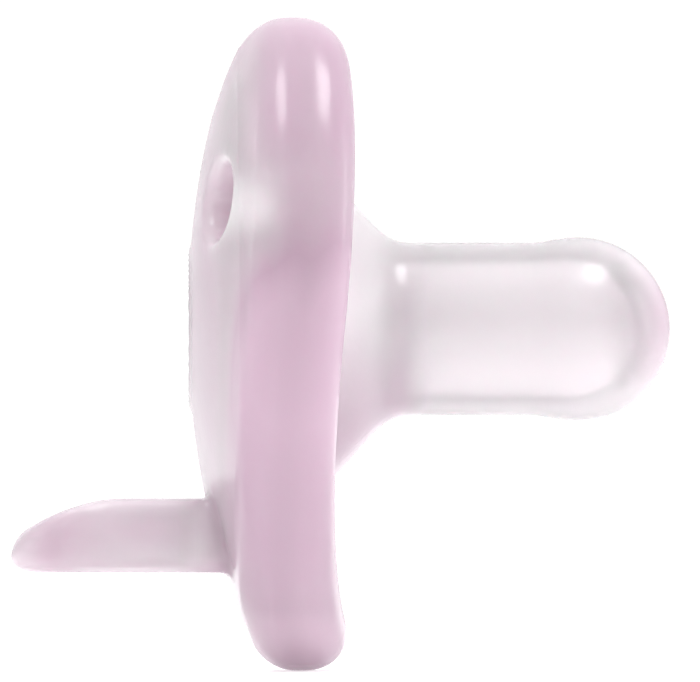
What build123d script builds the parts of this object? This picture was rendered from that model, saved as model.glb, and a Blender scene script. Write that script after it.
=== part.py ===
from build123d import *
import math
import os

# One-piece soft silicone pacifier in millimetres: shield, nipple and handle loop.
# +X runs along the nipple towards the baby, +Z is up, Y is across; "front" is
# the domed -X side and "back" the mouth side. The origin is on the nipple's
# axis, in the plane of the shield's rim face.

CLEARANCE = 0.05       # gap between each rounded root and its seat

# Shield outline: a heart made of tangent arcs
LOBE_Y = 12.0          # sideways offset of each upper lobe's arc centre
LOBE_Z = 14.5          # height of the lobe arc centres
LOBE_R = 10.5
NOTCH_R = 4.0          # rounded notch between the lobes
SHOULDER_R = 22.0      # arcs below the lobes
SHOULDER_ANGLE = 52.0  # bearing at which lobe and shoulder arcs meet, degrees
SIDE_R = 42.0          # the two long sides
TIP_R = 10.0           # lower tip
TIP_Z = -27.63         # lowest point of the shield

# Shield section
DOME_R = 66.0          # front dome
DOME_X = -13.58        # apex of the dome, before the finger well opens it
DOME_Z = 0.6           # height of the dome's centre
BACK_R = 75.0          # slightly hollow rim face
BACK_X = -4.6          # where that rim surface would cross the axis
RIM_W = 6.0            # width of the rolled rim
WEB_T = 5.0            # thickness of the web inside the rim
FRONT_FILLET = 2.0     # front side of the rim
BACK_FILLET = 4.0      # mouth side of the rim
DISH_COVE_R = 2.4      # cove between the dish floor and the rim

# Planes between which the shield's outlines are extruded
SKETCH_X = -16.0       # in front of the dome
DISH_END_X = 8.0
BLANK_END_X = 4.0
HOLE_END_X = 0.0

# Vent holes: ellipses
VENT_Y = 14.3
VENT_Z = 10.2
VENT_HALF_W = 4.3
VENT_HALF_H = 3.0

# Trumpet-shaped root that carries the nipple
TRUMPET = [            # (x, radius), from the lip down to the dish floor
    (1.0, 8.90),
    (0.0, 10.10),
    (-2.0, 12.10),
    (-4.0, 13.60),
    (-5.5, 14.70),
    (-6.5, 16.20),
]
TRUMPET_BASE_X = -9.5  # front end of the trumpet, sunk in the web
HUB_R = 5.7            # finger well where it passes through the shield
HUB_EDGE_R = 0.8       # rounded mouth of the finger well

# Nipple
BALL_R = 8.20          # ball root
BALL_BACK_X = -5.0     # flat front end of the ball root
SOCKET_R = BALL_R + CLEARANCE
TUBE_R = 7.0
BULB_X = 18.0          # centre of the spherical tip
BULB_R = 7.44
CAVITY_R = 5.4         # finger well inside the nipple
CAVITY_TIP_R = 5.6     # rounded end of the cavity
BULB_MID_ANGLE = 60    # bearings of a point part-way along each tip arc, degrees
CAVITY_MID_ANGLE = 50

# Handle loop
PIN_X = -14.0          # fold axis, across the two arms
PIN_Z = -16.70
ROOT_R = 3.0           # rounded arm roots
ARM_Y = 7.5            # centre of each arm
ARM_W = 4.0            # arm width
LOOP_TIP_X = -27.90    # outer end of the loop
LOOP_EDGE_R = 0.9
LOOP_TOP = [           # (x, drop below the level top), towards the outer end
    (-18.9, 0.0),
    (-22.6, 0.58),
    (-25.5, 1.85),
    (-29.0, 4.1),
]
LOOP_END_SLOPE = 0.75  # fall per unit of length at the last of those points
LOOP_CUT_RISE = 3.0    # height of the cutter above the level top
LOOP_CUT_HALF_W = 14.0

# Stubs on the shield that carry the handle's arms
SEAT_R = ROOT_R + CLEARANCE
SEAT_HALF_ANGLE = 50.0
SEAT_OVERCUT = 1.0     # how far the seat's cutter passes each side of a stub
STUB_BACK_X = -8.5     # end of a stub inside the shield
STUB_FLARE = 0.5       # extra half height at that end


def bearing(start, end):
    """Direction from start to end, in degrees."""
    return math.degrees(math.atan2(end[1] - start[1], end[0] - start[0]))


def point_on_arc(centre_x, radius, angle):
    """Point on a circle whose centre is at (centre_x, 0)."""
    angle = math.radians(angle)
    return centre_x + radius * math.cos(angle), radius * math.sin(angle)


def leg(hypotenuse, other_leg):
    """Remaining side of a right triangle."""
    return math.sqrt(hypotenuse ** 2 - other_leg ** 2)


def heart_arcs(inset):
    """(centre, radius, start, end bearing) of the +Y half's arcs, notch to tip."""
    lobe = (LOBE_Y, LOBE_Z)
    notch = (0.0, LOBE_Z + leg(LOBE_R + NOTCH_R, LOBE_Y))
    tip = (0.0, TIP_Z + TIP_R)
    angle = math.radians(SHOULDER_ANGLE)
    shoulder = (
        LOBE_Y - (SHOULDER_R - LOBE_R) * math.cos(angle),
        LOBE_Z - (SHOULDER_R - LOBE_R) * math.sin(angle),
    )
    # The side arc holds the shoulder and tip arcs and touches both, so its
    # centre is where two circles about their centres cross.
    to_shoulder = SIDE_R - SHOULDER_R
    to_tip = SIDE_R - TIP_R
    span = math.dist(shoulder, tip)
    unit_y = (tip[0] - shoulder[0]) / span
    unit_z = (tip[1] - shoulder[1]) / span
    along = (to_shoulder ** 2 - to_tip ** 2 + span ** 2) / (2 * span)
    across = leg(to_shoulder, along)
    side = min(
        (
            shoulder[0] + along * unit_y + sign * across * unit_z,
            shoulder[1] + along * unit_z - sign * across * unit_y,
        )
        for sign in (1, -1)
    )
    shoulder_end = bearing(side, shoulder)
    side_end = bearing(side, tip)
    return [
        (notch, NOTCH_R + inset, -90, bearing(notch, lobe)),
        (lobe, LOBE_R - inset, bearing(lobe, notch), SHOULDER_ANGLE),
        (shoulder, SHOULDER_R - inset, SHOULDER_ANGLE, shoulder_end),
        (side, SIDE_R - inset, shoulder_end, side_end),
        (tip, TIP_R - inset, side_end, -90),
    ]


def heart_line(inset):
    """Draw the closed heart outline, inset from the edge, in the active line."""
    for centre, radius, start, end in heart_arcs(inset):
        CenterArc(centre, radius, start, end - start)
    mirror(about=Plane.YZ)


def arm_pin(side):
    """Place on the fold axis at one arm's centre, with local Z along Y."""
    return Location((PIN_X, side * ARM_Y, PIN_Z), (90, 0, 0))


def save(part, name):
    part.label = name
    export_step(part, f"parts/{name}.step")


os.makedirs("parts", exist_ok=True)

# ------------------------------------------------------------------- dish
# Space inside the rolled rim, on the mouth side: the inset heart, down to a
# floor that runs parallel to the dome.
with BuildPart() as dish:
    with BuildSketch(Plane.YZ.offset(SKETCH_X)):
        with BuildLine():
            heart_line(RIM_W)
        make_face()
    extrude(amount=DISH_END_X - SKETCH_X)
    with Locations((DOME_X + DOME_R, 0, DOME_Z)):
        Sphere(DOME_R - WEB_T, mode=Mode.INTERSECT)
    floor_edges = dish.edges().filter_by(lambda e: e.center().X < 0)
    fillet(floor_edges, radius=DISH_COVE_R)

# ------------------------------------------------------------------ shield
with BuildPart() as shield:
    # heart-shaped plate between the dome and the hollow rim face
    with BuildSketch(Plane.YZ.offset(SKETCH_X)):
        with BuildLine():
            heart_line(0.0)
        make_face()
    extrude(amount=BLANK_END_X - SKETCH_X)
    with Locations((DOME_X + DOME_R, 0, DOME_Z)):
        Sphere(DOME_R, mode=Mode.INTERSECT)
    with Locations((BACK_X + BACK_R, 0, 0)):
        Sphere(BACK_R, mode=Mode.SUBTRACT)

    # rounded rim, both sides
    front_face = shield.faces().sort_by(Axis.X)[0]
    fillet(front_face.edges(), radius=FRONT_FILLET)
    back_face = shield.faces().sort_by(Axis.X)[-1]
    fillet(back_face.edges(), radius=BACK_FILLET)
    add(dish.part, mode=Mode.SUBTRACT)

    # trumpet root, solid until the finger well and the socket are cut
    with BuildSketch(Plane.XZ):
        with BuildLine():
            lip_x = TRUMPET[0][0]
            base_r = TRUMPET[-1][1]
            Polyline((TRUMPET_BASE_X, 0), (lip_x, 0), TRUMPET[0])
            Spline(*TRUMPET)
            Polyline(TRUMPET[-1], (TRUMPET_BASE_X, base_r), (TRUMPET_BASE_X, 0))
        make_face()
    revolve(axis=Axis.X)

    # vent holes through the web
    with BuildSketch(Plane.YZ.offset(SKETCH_X)):
        with Locations((VENT_Y, VENT_Z), (-VENT_Y, VENT_Z)):
            Ellipse(VENT_HALF_W, VENT_HALF_H)
    extrude(amount=HOLE_END_X - SKETCH_X, mode=Mode.SUBTRACT)

    # finger well through the hub, with a rounded mouth on the dome
    with BuildSketch(Plane.YZ.offset(SKETCH_X)):
        Circle(HUB_R)
    extrude(amount=HOLE_END_X - SKETCH_X, mode=Mode.SUBTRACT)
    circles = shield.edges().filter_by(GeomType.CIRCLE)
    hub_circles = circles.filter_by(lambda e: abs(e.radius - HUB_R) < 0.01)
    fillet(hub_circles.sort_by(Axis.X)[0], radius=HUB_EDGE_R)

    # spherical seat for the nipple's ball root
    Sphere(SOCKET_R, mode=Mode.SUBTRACT)

    # two short stubs, hollowed at the front to seat the arm roots
    seat_x, seat_half_h = point_on_arc(PIN_X, SEAT_R, SEAT_HALF_ANGLE)
    stub_half_h = seat_half_h + STUB_FLARE
    for side in (-1, 1):
        # Plane.XZ faces -Y, hence the reversed offset
        with BuildSketch(Plane.XZ.offset(-side * ARM_Y)):
            with BuildLine():
                Polyline(
                    (STUB_BACK_X, PIN_Z + stub_half_h),
                    (seat_x, PIN_Z + seat_half_h),
                    (seat_x, PIN_Z - seat_half_h),
                    (STUB_BACK_X, PIN_Z - stub_half_h),
                    close=True,
                )
            make_face()
        extrude(amount=ARM_W / 2, both=True)
        with Locations(arm_pin(side)):
            Cylinder(SEAT_R, ARM_W + 2 * SEAT_OVERCUT, mode=Mode.SUBTRACT)

save(shield.part, "shield")

# ------------------------------------------------------------------ nipple
# Half section, revolved: ball root, tube and bulb outside, finger well inside.
with BuildPart() as nipple:
    ball_back = (BALL_BACK_X, leg(BALL_R, BALL_BACK_X))
    tube_start = (leg(BALL_R, TUBE_R), TUBE_R)
    tube_end = (BULB_X - leg(BULB_R, TUBE_R), TUBE_R)
    bulb_tip = (BULB_X + BULB_R, 0)
    cavity_tip = (BULB_X + CAVITY_TIP_R, 0)
    cavity_end = (BULB_X - leg(CAVITY_TIP_R, CAVITY_R), CAVITY_R)
    cavity_mouth = (BALL_BACK_X, CAVITY_R)
    with BuildSketch(Plane.XZ):
        with BuildLine():
            Line(cavity_mouth, ball_back)
            ThreePointArc(ball_back, (0, BALL_R), tube_start)
            Line(tube_start, tube_end)
            bulb_mid = point_on_arc(BULB_X, BULB_R, BULB_MID_ANGLE)
            ThreePointArc(tube_end, bulb_mid, bulb_tip)
            Line(bulb_tip, cavity_tip)
            cavity_mid = point_on_arc(BULB_X, CAVITY_TIP_R, CAVITY_MID_ANGLE)
            ThreePointArc(cavity_tip, cavity_mid, cavity_end)
            Line(cavity_end, cavity_mouth)
        make_face()
    revolve(axis=Axis.X)

save(nipple.part, "nipple")

# ------------------------------------------------------------- handle loop
with BuildPart() as handle:
    outer_r = ARM_Y + ARM_W / 2
    inner_r = ARM_Y - ARM_W / 2
    arc_x = LOOP_TIP_X + outer_r
    inner_tip_x = arc_x - inner_r

    # U-shaped bar, seen from above
    with BuildSketch(Plane.XY.offset(PIN_Z - ROOT_R)):
        with BuildLine():
            Line((PIN_X, outer_r), (arc_x, outer_r))
            ThreePointArc((arc_x, outer_r), (LOOP_TIP_X, 0), (arc_x, -outer_r))
            Polyline(
                (arc_x, -outer_r),
                (PIN_X, -outer_r),
                (PIN_X, -inner_r),
                (arc_x, -inner_r),
            )
            ThreePointArc((arc_x, -inner_r), (inner_tip_x, 0), (arc_x, inner_r))
            Polyline((arc_x, inner_r), (PIN_X, inner_r), (PIN_X, outer_r))
        make_face()
    extrude(amount=2 * ROOT_R)

    # the top falls away towards the rounded end
    top_z = PIN_Z + ROOT_R
    cut_z = top_z + LOOP_CUT_RISE
    top_points = [(x, top_z - drop) for x, drop in LOOP_TOP]
    fall_start, fall_end = top_points[0], top_points[-1]
    with BuildSketch(Plane.XZ):
        with BuildLine():
            Polyline((fall_start[0], cut_z), fall_start)
            Spline(*top_points, tangents=[(-1, 0), (-1, -LOOP_END_SLOPE)])
            Polyline(fall_end, (fall_end[0], cut_z), (fall_start[0], cut_z))
        make_face()
    extrude(amount=LOOP_CUT_HALF_W, both=True, mode=Mode.SUBTRACT)

    # round the edges beyond the roots, except those along the inside of the U
    beyond_roots = handle.edges().filter_by(lambda e: e.center().X < PIN_X - 0.5)
    outer_edges = beyond_roots.filter_by(
        lambda e: abs(e.center().Y) > inner_r + 0.5 or e.center().X < inner_tip_x - 1.0
    )
    fillet(outer_edges, radius=LOOP_EDGE_R)

    # rounded roots that sit in the shield's stubs
    for side in (-1, 1):
        with Locations(arm_pin(side)):
            Cylinder(ROOT_R, ARM_W)

save(handle.part, "handle_loop")
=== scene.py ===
"""One-piece soft silicone soother: heart-shaped shield, hollow nipple and handle loop.

The nipple points along +X from the shield's mouth face. The loop stands out of
the domed outer face, towards -X, below the nipple's axis (the X axis). Y runs
across the shield. Z is up, with the heart's tip at the bottom.
"""
import bpy
import bmesh
import math
import numpy as np
from itertools import combinations, product
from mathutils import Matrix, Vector


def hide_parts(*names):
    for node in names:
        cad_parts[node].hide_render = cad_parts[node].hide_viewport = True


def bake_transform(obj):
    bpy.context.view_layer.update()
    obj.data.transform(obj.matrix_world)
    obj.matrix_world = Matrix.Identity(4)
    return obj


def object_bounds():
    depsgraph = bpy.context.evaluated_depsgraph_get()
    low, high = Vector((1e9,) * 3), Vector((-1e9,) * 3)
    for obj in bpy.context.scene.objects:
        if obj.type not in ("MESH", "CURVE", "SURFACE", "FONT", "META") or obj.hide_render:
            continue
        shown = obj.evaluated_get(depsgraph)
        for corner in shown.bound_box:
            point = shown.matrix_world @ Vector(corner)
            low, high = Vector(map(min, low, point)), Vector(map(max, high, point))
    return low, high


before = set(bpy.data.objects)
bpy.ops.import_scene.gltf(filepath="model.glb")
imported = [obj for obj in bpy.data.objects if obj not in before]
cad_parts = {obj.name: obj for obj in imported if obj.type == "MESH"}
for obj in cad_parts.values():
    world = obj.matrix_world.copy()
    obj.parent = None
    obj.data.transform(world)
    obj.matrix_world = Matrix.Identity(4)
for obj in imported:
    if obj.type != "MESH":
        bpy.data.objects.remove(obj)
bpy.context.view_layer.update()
scene = bpy.context.scene

# --------------------------------------------------------------------------
# Dimensions in millimetres
# --------------------------------------------------------------------------
MM = 0.001                     # metres in a millimetre

# heart outline, in (y, z)
LOBE_Y = 12.0
LOBE_Z = 14.5
LOBE_R = 10.5
NOTCH_R = 4.0
SHOULDER_R = 22.0
SHOULDER_ANGLE = math.radians(52)
SIDE_R = 42.0
TIP_Z = -27.63
TIP_R = 10.0

# shield faces: x at the middle, then the square and fourth-power bends
OUTER_X = -13.58
OUTER_MID_Z = 0.6
OUTER_BEND_Y = 0.0082
OUTER_BEND_Z = 0.0067
OUTER_BEND_Z4 = 1.6e-6
OUTER_EDGE_R = 2.0
MOUTH_X = -4.60
MOUTH_BEND_Y = 0.0075
MOUTH_BEND_Z = 0.0068
MOUTH_BEND_Z4 = 2.6e-6         # takes bend away, above z = 0 only
MOUTH_EDGE_R = 4.4

# dish in the mouth face
RIM_W = 5.9
WEB_T = 5.0
DISH_FLOOR_R = 2.8
DISH_EDGE_R = 2.0

# elliptical vent holes
VENT_Y = 14.3
VENT_Z = 10.2
VENT_HALF_Y = 4.3
VENT_HALF_Z = 3.05
VENT_EDGE_R = 1.0

# nipple
NIPPLE_BACK_X = -7.2
NIPPLE_R = 7.0
FLARE_START_X = 0.8
FLARE_LENGTH = 3.9
FLARE_SLOPE = 1.12
BULB_X = 18.0
BULB_R = 7.44
BULB_COVE = 0.6
NIPPLE_COVE = 3.0

# handle loop: two arms joined by a half-round bend
LOOP_FRONT_X = -9.6
LOOP_BEND_X = -18.4
LOOP_MID_R = 7.5
LOOP_HALF_W = 2.0
LOOP_TOP_Z = -13.76
LOOP_DROOP_X = -18.7           # beyond this the upper side curves down
LOOP_DROOP = 0.039
LOOP_BOTTOM_Z = -19.62
LOOP_EDGE_R = 1.25
LOOP_COVE = 0.9

# bead round the mouth of the finger well
BEAD_X = -12.82
BEAD_MID_R = 6.05
BEAD_R = 0.62
BEAD_COVE = 0.5

# finger well, widest at a bulge behind the nipple's root
WELL_R = 5.4
WELL_WIDENING = 0.25
WIDENING_START_X = -5.0
WIDENING_END_X = -12.0
BULGE = 2.6
BULGE_X = -1.6
BULGE_HALF_LENGTH = 5.4
WELL_END_X = 17.4
WELL_END_R = 5.5
WELL_COVE = 0.5
WELL_EDGE_R = 0.6

# where the loop is cut off, and the box that holds its vertices
CUT_X = -12.6
CUT_GAP = 0.002                # from the cut plane to each piece
LOOP_BOX_X = -12.2
LOOP_BOX_Z = -12.3

# sampling grid
FINE_STEP = 0.42
STEP = FINE_STEP
GRID_LOW = (-28.65, -28.35, -28.7)
GRID_HIGH = (26.6, 28.35, 26.4)


# --------------------------------------------------------------------------
# Heart outline: notch, lobe, shoulder, side and tip arcs, all tangent
# --------------------------------------------------------------------------
def side_centre(shoulder, tip):
    """Centre of the side arc, which touches the shoulder and tip circles."""
    to_shoulder = SIDE_R - SHOULDER_R
    to_tip = SIDE_R - TIP_R
    gap = np.linalg.norm(tip - shoulder)
    along = (tip - shoulder) / gap
    across = np.array([along[1], -along[0]])
    foot = (to_shoulder * to_shoulder - to_tip * to_tip + gap * gap) / (2 * gap)
    height = math.sqrt(to_shoulder * to_shoulder - foot * foot)
    centres = [shoulder + foot * along + sign * height * across for sign in (1, -1)]
    return min(centres, key=lambda centre: centre[0])


def bearing(start, end):
    return math.atan2(end[1] - start[1], end[0] - start[0])


def heart_arcs():
    """Centre, radius, first and last angle, and sign (-1 where hollow) of each arc."""
    tip = np.array([0.0, TIP_Z + TIP_R])
    notch = np.array([0.0, LOBE_Z + math.sqrt((LOBE_R + NOTCH_R) ** 2 - LOBE_Y ** 2)])
    lobe = np.array([LOBE_Y, LOBE_Z])
    direction = np.array([math.cos(SHOULDER_ANGLE), math.sin(SHOULDER_ANGLE)])
    shoulder = lobe - (SHOULDER_R - LOBE_R) * direction
    side = side_centre(shoulder, tip)
    side_top = bearing(side, shoulder)
    side_bottom = bearing(side, tip)
    down = -math.pi / 2
    return [
        (notch, NOTCH_R, down, bearing(notch, lobe), -1),
        (lobe, LOBE_R, SHOULDER_ANGLE, bearing(lobe, notch), 1),
        (shoulder, SHOULDER_R, side_top, SHOULDER_ANGLE, 1),
        (side, SIDE_R, side_bottom, side_top, 1),
        (tip, TIP_R, down, side_bottom, 1),
    ]


ARCS = heart_arcs()


def heart(abs_y, z):
    """Signed distance to the heart outline."""
    best = np.full(abs_y.shape, 1e9)
    for centre, radius, first, last, sign in ARCS:
        dy = abs_y - centre[0]
        dz = z - centre[1]
        angle = np.arctan2(dz, dy)
        in_arc = (angle >= first - 1e-9) & (angle <= last + 1e-9)
        distance = sign * (np.sqrt(dy * dy + dz * dz) - radius)
        best = np.where(in_arc & (np.abs(distance) < np.abs(best)), distance, best)
    return best


# --------------------------------------------------------------------------
# The moulding as one smooth signed field, negative inside
# --------------------------------------------------------------------------
def both(a, b, radius):
    """Where a and b are both inside, with the edge between them rounded."""
    u = np.maximum(a + radius, 0)
    v = np.maximum(b + radius, 0)
    return np.minimum(np.maximum(a, b), -radius) + np.sqrt(u * u + v * v)


def join(a, b, reach):
    """Where a or b is inside, with a soft cove between them."""
    h = np.maximum(reach - np.abs(a - b), 0) / reach
    return np.minimum(a, b) - h * h * reach / 4


def ramp(value, zero, one):
    """0 to 1 as the value goes from zero to one, held beyond both."""
    return np.clip((value - zero) / (one - zero), 0, 1)


def steepness(slope, other=0.0):
    """Divides an axial gap to give the distance to a sloping surface."""
    return np.sqrt(1 + slope * slope + other * other)


def shield(x, y, z):
    outline = heart(np.abs(y), z)

    w = z - OUTER_MID_Z
    w2 = w * w
    face = OUTER_X + OUTER_BEND_Z * w2 + OUTER_BEND_Z4 * w2 * w2 + OUTER_BEND_Y * y * y
    slope_z = 2 * OUTER_BEND_Z * w + 4 * OUTER_BEND_Z4 * w2 * w
    outer = (face - x) / steepness(2 * OUTER_BEND_Y * y, slope_z)

    up = np.maximum(z, 0)
    gap = x - MOUTH_X - MOUTH_BEND_Y * y * y - MOUTH_BEND_Z * z * z + MOUTH_BEND_Z4 * up ** 4
    slope_z = 2 * MOUTH_BEND_Z * z - 4 * MOUTH_BEND_Z4 * up ** 3
    mouth = gap / steepness(2 * MOUTH_BEND_Y * y, slope_z)

    solid = both(both(outline, outer, OUTER_EDGE_R), mouth, MOUTH_EDGE_R)
    dish = both(outline + RIM_W, outer + WEB_T, DISH_FLOOR_R)
    return both(solid, -dish, DISH_EDGE_R)


def nipple(x, r):
    """Flared root, straight part and round tip."""
    t = np.clip((FLARE_START_X + FLARE_LENGTH - x) / FLARE_LENGTH, 0, 1)
    radius = (NIPPLE_R + FLARE_SLOPE * FLARE_LENGTH * (t ** 3 - t ** 4 / 2)
              + FLARE_SLOPE * np.maximum(FLARE_START_X - x, 0))
    slope = FLARE_SLOPE * t * t * (3 - 2 * t)
    ends = np.maximum(-(x - NIPPLE_BACK_X), x - BULB_X)
    tube = np.maximum((r - radius) / steepness(slope), ends)
    bulb = np.sqrt((x - BULB_X) ** 2 + r * r) - BULB_R
    return join(tube, bulb, BULB_COVE)


def vent_ratio(abs_y, z):
    """1 on the edge of a vent hole and 0 at its middle."""
    return np.sqrt(((abs_y - VENT_Y) / VENT_HALF_Y) ** 2 + ((z - VENT_Z) / VENT_HALF_Z) ** 2)


def vent(abs_y, z):
    ratio = vent_ratio(abs_y, z)
    dy = (abs_y - VENT_Y) / VENT_HALF_Y ** 2
    dz = (z - VENT_Z) / VENT_HALF_Z ** 2
    return ratio * (ratio - 1) / (np.sqrt(dy ** 2 + dz ** 2) + 1e-9)


def loop_top(x):
    """Height of the loop's upper side, and its slope."""
    u = np.maximum(LOOP_DROOP_X - x, 0)
    return LOOP_TOP_Z - LOOP_DROOP * u * u, 2 * LOOP_DROOP * u


def handle_loop(x, y, z):
    arms = np.abs(np.abs(y) - LOOP_MID_R)
    bend = np.abs(np.sqrt((x - LOOP_BEND_X) ** 2 + y * y) - LOOP_MID_R)
    from_middle = np.where(x > LOOP_BEND_X, arms, bend)
    top, slope = loop_top(x)
    height = np.maximum((z - top) / steepness(slope), LOOP_BOTTOM_Z - z)
    bar = both(from_middle - LOOP_HALF_W, height, LOOP_EDGE_R)
    return np.maximum(bar, x - LOOP_FRONT_X)


def finger_well(x, r):
    t = ramp(x, WIDENING_START_X, WIDENING_END_X)
    u = np.clip(1 - ((x - BULGE_X) / BULGE_HALF_LENGTH) ** 2, 0, 1)
    slope = BULGE * 4 * u * (x - BULGE_X) / BULGE_HALF_LENGTH ** 2
    wall = (r - WELL_R - WELL_WIDENING * t - BULGE * u * u) / steepness(slope)
    end = np.sqrt((x - WELL_END_X) ** 2 + r * r) - WELL_END_R
    return join(np.maximum(wall, x - WELL_END_X), end, WELL_COVE)


def field(points):
    x, y, z = points.T
    r = np.sqrt(y * y + z * z)
    body = join(shield(x, y, z), nipple(x, r), NIPPLE_COVE)
    body = both(body, -vent(np.abs(y), z), VENT_EDGE_R)
    body = join(body, handle_loop(x, y, z), LOOP_COVE)
    bead = np.sqrt((x - BEAD_X) ** 2 + (r - BEAD_MID_R) ** 2) - BEAD_R
    body = join(body, bead, BEAD_COVE)
    return both(body, -finger_well(x, r), WELL_EDGE_R)


def gradient(points, reach=0.02):
    slopes = np.empty_like(points)
    for axis in range(3):
        shift = np.zeros(3)
        shift[axis] = reach
        slopes[:, axis] = (field(points + shift) - field(points - shift)) / (2 * reach)
    return slopes


def unit_normals(points):
    slopes = gradient(points)
    return slopes / np.sqrt((slopes * slopes).sum(1))[:, None]


# --------------------------------------------------------------------------
# Closed quad mesh of field = 0: surface nets on a regular grid
# --------------------------------------------------------------------------
def square_corners(b, c):
    """Index offsets of the four corners of a grid square across axes b and c."""
    offsets = np.zeros((4, 3), int)
    offsets[:, [b, c]] = ((0, 0), (1, 0), (1, 1), (0, 1))
    return offsets


def part_diagonals(values):
    """No grid square may have two opposite corners inside and two outside, or
    four faces would meet along one edge: gives such a corner the other sign."""
    for _ in range(6):
        inside = values < 0
        found = False
        for b, c in ((0, 1), (1, 2), (0, 2)):
            offsets = square_corners(b, c)
            ring = []
            for offset in offsets:
                window = [slice(None)] * 3
                for axis in (b, c):
                    window[axis] = slice(offset[axis], values.shape[axis] - 1 + offset[axis])
                ring.append(inside[tuple(window)])
            crossed = (ring[0] == ring[2]) & (ring[1] == ring[3]) & (ring[0] != ring[1])
            for square in np.argwhere(crossed):
                corners = [tuple(corner) for corner in square + offsets]
                weakest = min(corners, key=lambda corner: abs(values[corner]))
                values[weakest] = -np.sign(values[weakest]) * 1e-6
                found = True
        if not found:
            break


def crossing_means(cells, values):
    """Mean of each cell's edge crossings, from the cell's low corner."""
    total = np.zeros((len(cells), 3))
    count = np.zeros(len(cells))
    for start, end in combinations(np.array(list(product((0, 1), repeat=3))), 2):
        if abs(start - end).sum() != 1:
            continue
        at_start = values[tuple((cells + start).T)]
        at_end = values[tuple((cells + end).T)]
        cross = (at_start < 0) != (at_end < 0)
        t = np.where(cross, at_start / np.where(cross, at_start - at_end, 1), 0)
        position = start + t[:, None] * (end - start)
        total[cross] += position[cross]
        count[cross] += 1
    return total / count[:, None]


def crossing_quads(inside, index):
    """One quad for each grid edge that crosses the surface."""
    quads = []
    for axis in range(3):
        low = [slice(None)] * 3
        high = [slice(None)] * 3
        low[axis] = slice(0, -1)
        high[axis] = slice(1, None)
        start = inside[tuple(low)]
        edges = np.argwhere(start != inside[tuple(high)])
        b = (axis + 1) % 3
        c = (axis + 2) % 3
        edges = edges[(edges[:, b] > 0) & (edges[:, c] > 0)
                      & (edges[:, b] < index.shape[b]) & (edges[:, c] < index.shape[c])]
        outward = start[tuple(edges.T)]
        offsets = square_corners(b, c)
        ring = np.stack([index[tuple((edges - offset).T)] for offset in offsets], 1)
        quads.append(np.where(outward[:, None], ring, ring[:, ::-1]))
    return np.concatenate(quads)


def neighbour_averager(quads, count):
    """A function that averages vertex values over each vertex's neighbours."""
    first = quads.T.ravel()
    second = np.roll(quads, -1, axis=1).T.ravel()
    degree = np.bincount(first, minlength=count) + np.bincount(second, minlength=count)

    def average(values):
        total = np.bincount(first, values[second], count)
        return (total + np.bincount(second, values[first], count)) / degree

    return average


def relax(points, quads):
    """Evens out the vertices along the surface and pulls them back onto it."""
    average = neighbour_averager(quads, len(points))
    for _ in range(7):
        normals = unit_normals(points)
        move = np.stack([average(points[:, axis]) for axis in range(3)], 1) - points
        move -= (move * normals).sum(1)[:, None] * normals
        points = points + 0.6 * move
        for _ in range(2):
            slopes = gradient(points)
            square = np.maximum((slopes * slopes).sum(1), 0.05)
            points = points - np.clip(field(points) / square, -0.2, 0.2)[:, None] * slopes
    return points


def moulding_surface():
    axes = [np.arange(a, b + STEP, STEP) for a, b in zip(GRID_LOW, GRID_HIGH)]
    nx, ny, nz = map(len, axes)
    values = np.empty((nx, ny, nz))
    y, z = (grid.ravel() for grid in np.meshgrid(axes[1], axes[2], indexing="ij"))
    for i, x in enumerate(axes[0]):
        values[i] = field(np.stack([np.full(y.size, x), y, z], 1)).reshape(ny, nz)
    values[values == 0] = 1e-9
    part_diagonals(values)

    inside = values < 0
    corners_inside = sum(
        inside[i:nx - 1 + i, j:ny - 1 + j, k:nz - 1 + k].astype(np.int8)
        for i, j, k in product((0, 1), repeat=3)
    )
    crossed = (corners_inside > 0) & (corners_inside < 8)
    cells = np.argwhere(crossed)
    index = np.full(crossed.shape, -1, np.int64)
    index[crossed] = np.arange(len(cells))

    origin = np.array([axis[0] for axis in axes])
    points = (cells + crossing_means(cells, values)) * STEP + origin
    quads = crossing_quads(inside, index)
    return relax(points, quads), quads


# --------------------------------------------------------------------------
# Vertex attributes that drive the silicone's tint and haze; the tint's depth also holds painted
# light and shade
# --------------------------------------------------------------------------
def bell(value, centre, width):
    return np.exp(-((value - centre) / width) ** 2)


def loop_foot(points):
    """1 at the plane where the loop is cut off, fading to both sides."""
    return bell(points[:, 0], centre=CUT_X, width=1.3) * (points[:, 2] < LOOP_BOX_Z)


def silicone_behind(points, normals):
    """Depth of silicone behind each vertex, up to 12 mm."""
    behind = np.full(len(points), 12.0)
    for depth in np.arange(12.0, 0.7, -0.4):
        behind[field(points - normals * depth) > 0] = depth
    return behind


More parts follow.
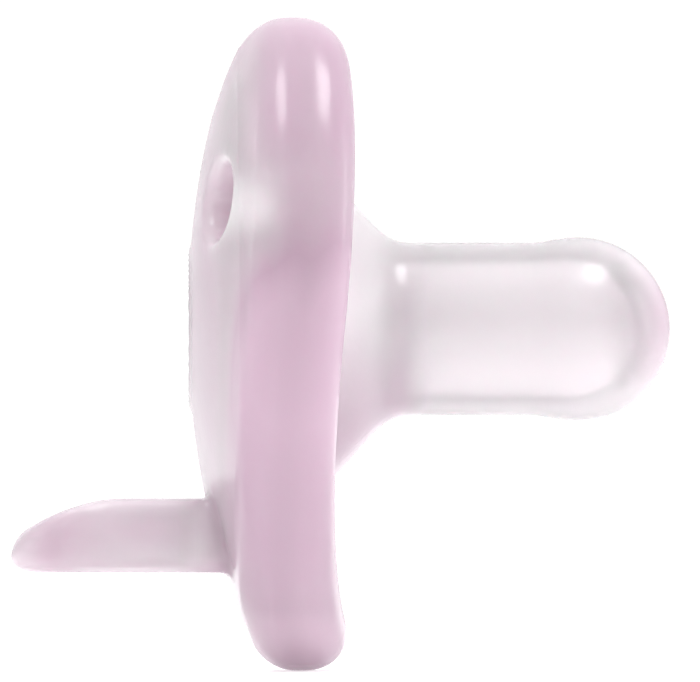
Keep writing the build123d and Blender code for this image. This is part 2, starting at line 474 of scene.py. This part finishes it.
def depth_haze_painted_light_and_shade(points, quads):
    """How deep the silicone looks at each vertex, and how hazy: its real depth, with painted
    light and shade added in places.
    """
    normals = unit_normals(points)
    depth = ramp(silicone_behind(points, normals), zero=3.5, one=7.5)
    x, y, z = points.T
    abs_y = np.abs(y)
    r = np.sqrt(y ** 2 + z * z)

    # painted shade: a pinker, darker band just below the loop's upper side, and a darker rounded
    # end
    below_top = loop_top(x)[0] - z
    painted_shade_band = ramp(below_top, zero=1.4, one=1.8) * ramp(below_top, zero=3.1, one=2.5)
    end = ramp(x, zero=-18.0, one=-25.0)
    on_loop = ramp(x, zero=-11.5, one=-13.0) * (z < LOOP_BOX_Z)
    depth = np.maximum(depth, on_loop * np.maximum(0.6 * painted_shade_band, 0.75 * end * end * (3 - 2 * end)))

    # the rim: painted shade makes it pinker and darker at mid height, painted light makes it
    # paler at the lobes and the tip
    rim = (0.42 * bell(z, centre=-2, width=8)
           - 0.22 * bell(z, centre=10, width=4)
           - 0.07 * bell(z, centre=-24, width=5))
    depth = depth + np.where(r > 20, rim * depth, 0)

    # set round the vents; painted light makes the lobes beside them paler, a bright patch beside
    # each vent
    by_vent = (vent_ratio(abs_y, z) < 1.12) & (x < -3)
    depth = np.where(by_vent, 0.5, depth)
    lobe = bell(z, centre=9.6, width=3.2) * ramp(x, zero=-5.2, one=-6.8) * (abs_y > 15)
    depth = depth * (1 - 0.95 * lobe)

    # nipple: painted shade, pinker and darker at the tip, and over the root a set pink painted
    # darker towards its lower side
    depth = np.maximum(depth, 0.75 * ramp(x, zero=21.5, one=25.0))
    root = (ramp(x, zero=6.0, one=1.5) * ramp(x, zero=-9.0, one=-7.0)
            * ramp(r, zero=19.0, one=16.0))
    depth = np.where(root > 0.3, 0.28 + 0.75 * ramp(z, zero=0, one=-10), depth)

    # painted light: paler where the surface faces -X
    depth = np.where(normals[:, 0] < -0.75, 0.8 * depth, depth)
    depth = np.clip(depth, 0, 1.45)

    places = np.maximum(np.maximum(depth, 0.9 * root), np.maximum(0.9 * by_vent, 0.6 * lobe))
    haze = 0.25 + 0.6 * places
    # hazy where the pieces meet; hazier at the foot of the rim, a painted lightening there
    haze = np.maximum(haze, 0.95 * loop_foot(points))
    haze = np.maximum(haze, 0.98 * bell(z, centre=-25, width=5.5) * (r > 19))

    average = neighbour_averager(quads, len(points))
    for _ in range(int(14 * (FINE_STEP / STEP) ** 2)):
        depth = 0.5 * depth + 0.5 * average(depth)
        haze = 0.5 * haze + 0.5 * average(haze)
    return depth, haze


# --------------------------------------------------------------------------
# Meshes
# --------------------------------------------------------------------------
def add_object(name, data):
    item = bpy.data.objects.new(name, data)
    scene.collection.objects.link(item)
    return item


def moulding_mesh():
    points, quads = moulding_surface()
    mesh = bpy.data.meshes.new("moulding")
    mesh.from_pydata([tuple(point) for point in (points * MM).tolist()], [], quads.tolist())
    mesh.validate()
    mesh.update()
    depth, haze = depth_haze_painted_light_and_shade(points, quads)
    # depth holds the silicone's depth with painted light and shade added in places
    for key, values in (("depth", depth), ("haze", haze), ("foot", loop_foot(points))):
        attribute = mesh.attributes.new(key, "FLOAT", "POINT")
        attribute.data.foreach_set("value", values.astype(np.float32))
    for face in mesh.polygons:
        face.use_smooth = True
    return mesh


def at_loop(vertex):
    return vertex.co.z < LOOP_BOX_Z * MM and vertex.co.x < LOOP_BOX_X * MM


def cut_piece(name, mesh, is_loop):
    """The loop, or all but the loop. Its flat caps lie a few microns from the
    other piece's, and "seam" marks them for the material to let light through."""
    bm = bmesh.new()
    bm.from_mesh(mesh)
    if is_loop:
        others = [v for v in bm.verts if not at_loop(v)]
        bmesh.ops.delete(bm, geom=others, context="VERTS")
    seam = bm.faces.layers.int.new("seam")
    verts = [v for v in bm.verts if at_loop(v)]
    chosen = set(verts)
    faces = [face for face in bm.faces if all(v in chosen for v in face.verts)]
    edges = {edge for face in faces for edge in face.edges}
    plane_x = CUT_X - CUT_GAP if is_loop else CUT_X + CUT_GAP
    bmesh.ops.bisect_plane(
        bm, geom=verts + list(edges) + faces, dist=1e-8,
        plane_co=(plane_x * MM, 0, 0), plane_no=(1, 0, 0),
        clear_outer=is_loop, clear_inner=not is_loop,
    )
    rim = [edge for edge in bm.edges if len(edge.link_faces) == 1]
    filled = bmesh.ops.triangle_fill(bm, use_beauty=True, use_dissolve=False, edges=rim)
    for cap in filled["geom"]:
        if isinstance(cap, bmesh.types.BMFace):
            cap[seam] = 1
            cap.smooth = False
    for edge in rim:
        edge.smooth = False
    bmesh.ops.recalc_face_normals(bm, faces=bm.faces)

    # the mark is handed over as a float attribute
    marks = [face[seam] for face in bm.faces]
    bm.faces.layers.int.remove(seam)
    piece = bpy.data.meshes.new(name)
    bm.to_mesh(piece)
    bm.free()
    attribute = piece.attributes.new("seam", "FLOAT", "FACE")
    attribute.data.foreach_set("value", np.array(marks, np.float32))
    return add_object(name, piece)


moulding = moulding_mesh()
body = cut_piece("shield_and_nipple", moulding, is_loop=False)
handle = cut_piece("handle_loop_soft", moulding, is_loop=True)

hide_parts("shield", "nipple")
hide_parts("handle_loop")
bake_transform(body)
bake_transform(handle)


# --------------------------------------------------------------------------
# Shader node helpers
# --------------------------------------------------------------------------
def feed(tree, node, inputs):
    """Sets a node's inputs, linking those given as sockets."""
    for key, value in inputs.items():
        if isinstance(value, bpy.types.NodeSocket):
            tree.links.new(value, node.inputs[key])
        else:
            node.inputs[key].default_value = value


def add_node(tree, kind, inputs=None, **settings):
    node = tree.nodes.new("ShaderNode" + kind)
    for key, value in settings.items():
        setattr(node, key, value)
    feed(tree, node, inputs or {})
    return node


def map_range(tree, value, to_min, to_max, from_min=0.0, from_max=1.0):
    return add_node(tree, "MapRange", {
        "Value": value, "From Min": from_min, "From Max": from_max,
        "To Min": to_min, "To Max": to_max,
    }).outputs["Result"]


def calculate(tree, operation, *values):
    node = add_node(tree, "Math", dict(enumerate(values)), operation=operation)
    return node.outputs[0]


# --------------------------------------------------------------------------
# Hazy, lightly pink-tinted liquid silicone
# --------------------------------------------------------------------------
SHALLOW_TINT = (0.91, 0.86, 0.885, 1)
DEEP_TINT = (0.52, 0.385, 0.47, 1)
CLEAR_TINT = (1.0, 0.985, 0.992, 1)
VOLUME_TINT = (0.567, 0.40, 0.517, 1)
ROUGHNESS = 0.20


def silicone(name):
    material = bpy.data.materials.new(name)
    material.use_nodes = True
    tree = material.node_tree
    tree.nodes.clear()
    position = add_node(tree, "TexCoord").outputs["Object"]

    def attribute(key):
        return add_node(tree, "Attribute", attribute_name=key).outputs["Fac"]

    def noise(scale, detail):
        inputs = {"Vector": position, "Scale": scale, "Detail": detail}
        return add_node(tree, "TexNoise", inputs).outputs["Fac"]

    def mix_shaders(factor, first, second):
        inputs = {0: factor, 1: first.outputs[0], 2: second.outputs[0]}
        return add_node(tree, "MixShader", inputs)

    # slow, faint mottling of the sheen and a fine satin tooth
    mottling = noise(scale=90.0, detail=2.0)
    tooth = add_node(tree, "Bump", {
        "Strength": 0.05, "Distance": 0.0002, "Height": noise(scale=1400.0, detail=3.0),
    })
    skin = {
        "Roughness": map_range(tree, mottling, to_min=ROUGHNESS - 0.03, to_max=ROUGHNESS + 0.05),
        "Normal": tooth.outputs["Normal"],
        "IOR": 1.41,
    }
    glassy = add_node(tree, "BsdfPrincipled", {
        **skin, "Base Color": CLEAR_TINT, "Transmission Weight": 1.0,
    })
    # the deeper the silicone, the pinker it looks; the depth attribute also holds painted light
    # and shade
    tint = add_node(tree, "Mix", data_type="RGBA")
    feed(tree, tint, {0: attribute("depth"), 6: SHALLOW_TINT, 7: DEEP_TINT})
    # light scatters over a shorter way where the pieces meet, so none is lost there
    milky = add_node(tree, "BsdfPrincipled", {
        **skin,
        "Base Color": tint.outputs[2],
        "Subsurface Weight": 1.0,
        "Subsurface Radius": (0.0060, 0.0050, 0.0055),
        "Subsurface Scale": map_range(tree, attribute("foot"), to_min=1.0, to_max=0.004),
    })
    hazy = mix_shaders(attribute("haze"), glassy, milky)
    surface = mix_shaders(attribute("seam"), hazy, add_node(tree, "BsdfTransparent"))
    volume = add_node(tree, "VolumeAbsorption", {"Color": VOLUME_TINT, "Density": 60.0})
    add_node(tree, "OutputMaterial", {
        "Surface": surface.outputs[0], "Volume": volume.outputs[0],
    })
    return material


pink_silicone = silicone("pink_silicone")
for piece in (body, handle):
    piece.data.materials.append(pink_silicone)


# --------------------------------------------------------------------------
# Studio, in metres
# --------------------------------------------------------------------------
def studio_world():
    """White to the camera. As a light it is brighter above, and dimmer to the
    left and right and on the camera's side, at -Y."""
    world = bpy.data.worlds.new("studio")
    scene.world = world
    world.use_nodes = True
    tree = world.node_tree
    incoming = add_node(tree, "NewGeometry").outputs["Incoming"]
    x, y, z = add_node(tree, "SeparateXYZ", {0: incoming}).outputs
    # Incoming points away from the sky, so its signs are turned
    toward_y = calculate(tree, "MULTIPLY", y, -1.0)
    toward_z = calculate(tree, "MULTIPLY", z, -1.0)
    fade = map_range(tree, toward_y, to_min=0.28, to_max=1.0, from_min=-0.9, from_max=0.1)
    above = calculate(tree, "MAXIMUM", toward_z, 0.0)
    lift = calculate(tree, "MULTIPLY_ADD", above, 0.25, 1.09)
    sideways = calculate(tree, "ABSOLUTE", x)
    shape = calculate(tree, "MULTIPLY_ADD", sideways, -0.42, lift)
    light = calculate(tree, "MULTIPLY", shape, fade)
    seen = add_node(tree, "LightPath").outputs["Is Camera Ray"]
    feed(tree, tree.nodes["Background"], {
        "Color": (1, 1, 1, 1), "Strength": calculate(tree, "MAXIMUM", light, seen),
    })


def studio_floor():
    """Softly glowing floor just under the product, a touch brighter to the camera."""
    floor_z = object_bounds()[0].z - 0.00002
    mesh = bpy.data.meshes.new("floor")
    bm = bmesh.new()
    bmesh.ops.create_grid(bm, x_segments=1, y_segments=1, size=6.0)
    bm.to_mesh(mesh)
    bm.free()
    floor = add_object("floor", mesh)
    floor.location = (0, 0, floor_z)
    material = bpy.data.materials.new("floor")
    material.use_nodes = True
    tree = material.node_tree
    seen = add_node(tree, "LightPath").outputs["Is Camera Ray"]
    glow = 0.39
    feed(tree, tree.nodes["Principled BSDF"], {
        "Base Color": (0.86, 0.86, 0.86, 1),
        "Roughness": 0.9,
        "Emission Color": (1, 1, 1, 1),
        "Emission Strength": map_range(tree, seen, to_min=glow, to_max=glow + 0.15),
    })
    mesh.materials.append(material)


def area_light(name, location, target, size, power):
    light = bpy.data.lights.new(name, "AREA")
    light.shape = "RECTANGLE"
    light.size, light.size_y = size
    light.energy = power
    lamp = add_object(name, light)
    lamp.location = location
    lamp.rotation_mode = "QUATERNION"
    lamp.rotation_quaternion = (Vector(target) - Vector(location)).to_track_quat("-Z", "Y")
    lamp.visible_camera = False


def studio_camera():
    """Level, square to the shield's edge, with the nipple to the right."""
    distance = 1500.0 * MM
    view_width = 56.63 * MM
    camera = bpy.data.cameras.new("camera")
    camera.sensor_width = 36.0
    camera.lens = camera.sensor_width * distance / view_width
    camera.clip_start = 0.01
    camera.clip_end = 20.0
    viewer = add_object("camera", camera)
    viewer.location = (-0.445 * MM, -distance, -0.97 * MM)
    viewer.rotation_euler = (math.radians(90), 0, 0)
    scene.camera = viewer


studio_world()
studio_floor()
for name, x, power in (("left box", -0.30, 1.3), ("right box", 0.17, 1.7)):
    area_light(name, location=(x, -0.10, 0.50), target=(x, -0.10, 0),
               size=(0.20, 0.28), power=power)
area_light("nipple side", location=(0.60, 0.05, 0), target=(0, 0, 0),
           size=(0.12, 0.80), power=0.9)
studio_camera()

scene.view_settings.view_transform = "Standard"
scene.cycles.use_denoising = True
scene.cycles.max_bounces = 24
scene.cycles.transmission_bounces = 24
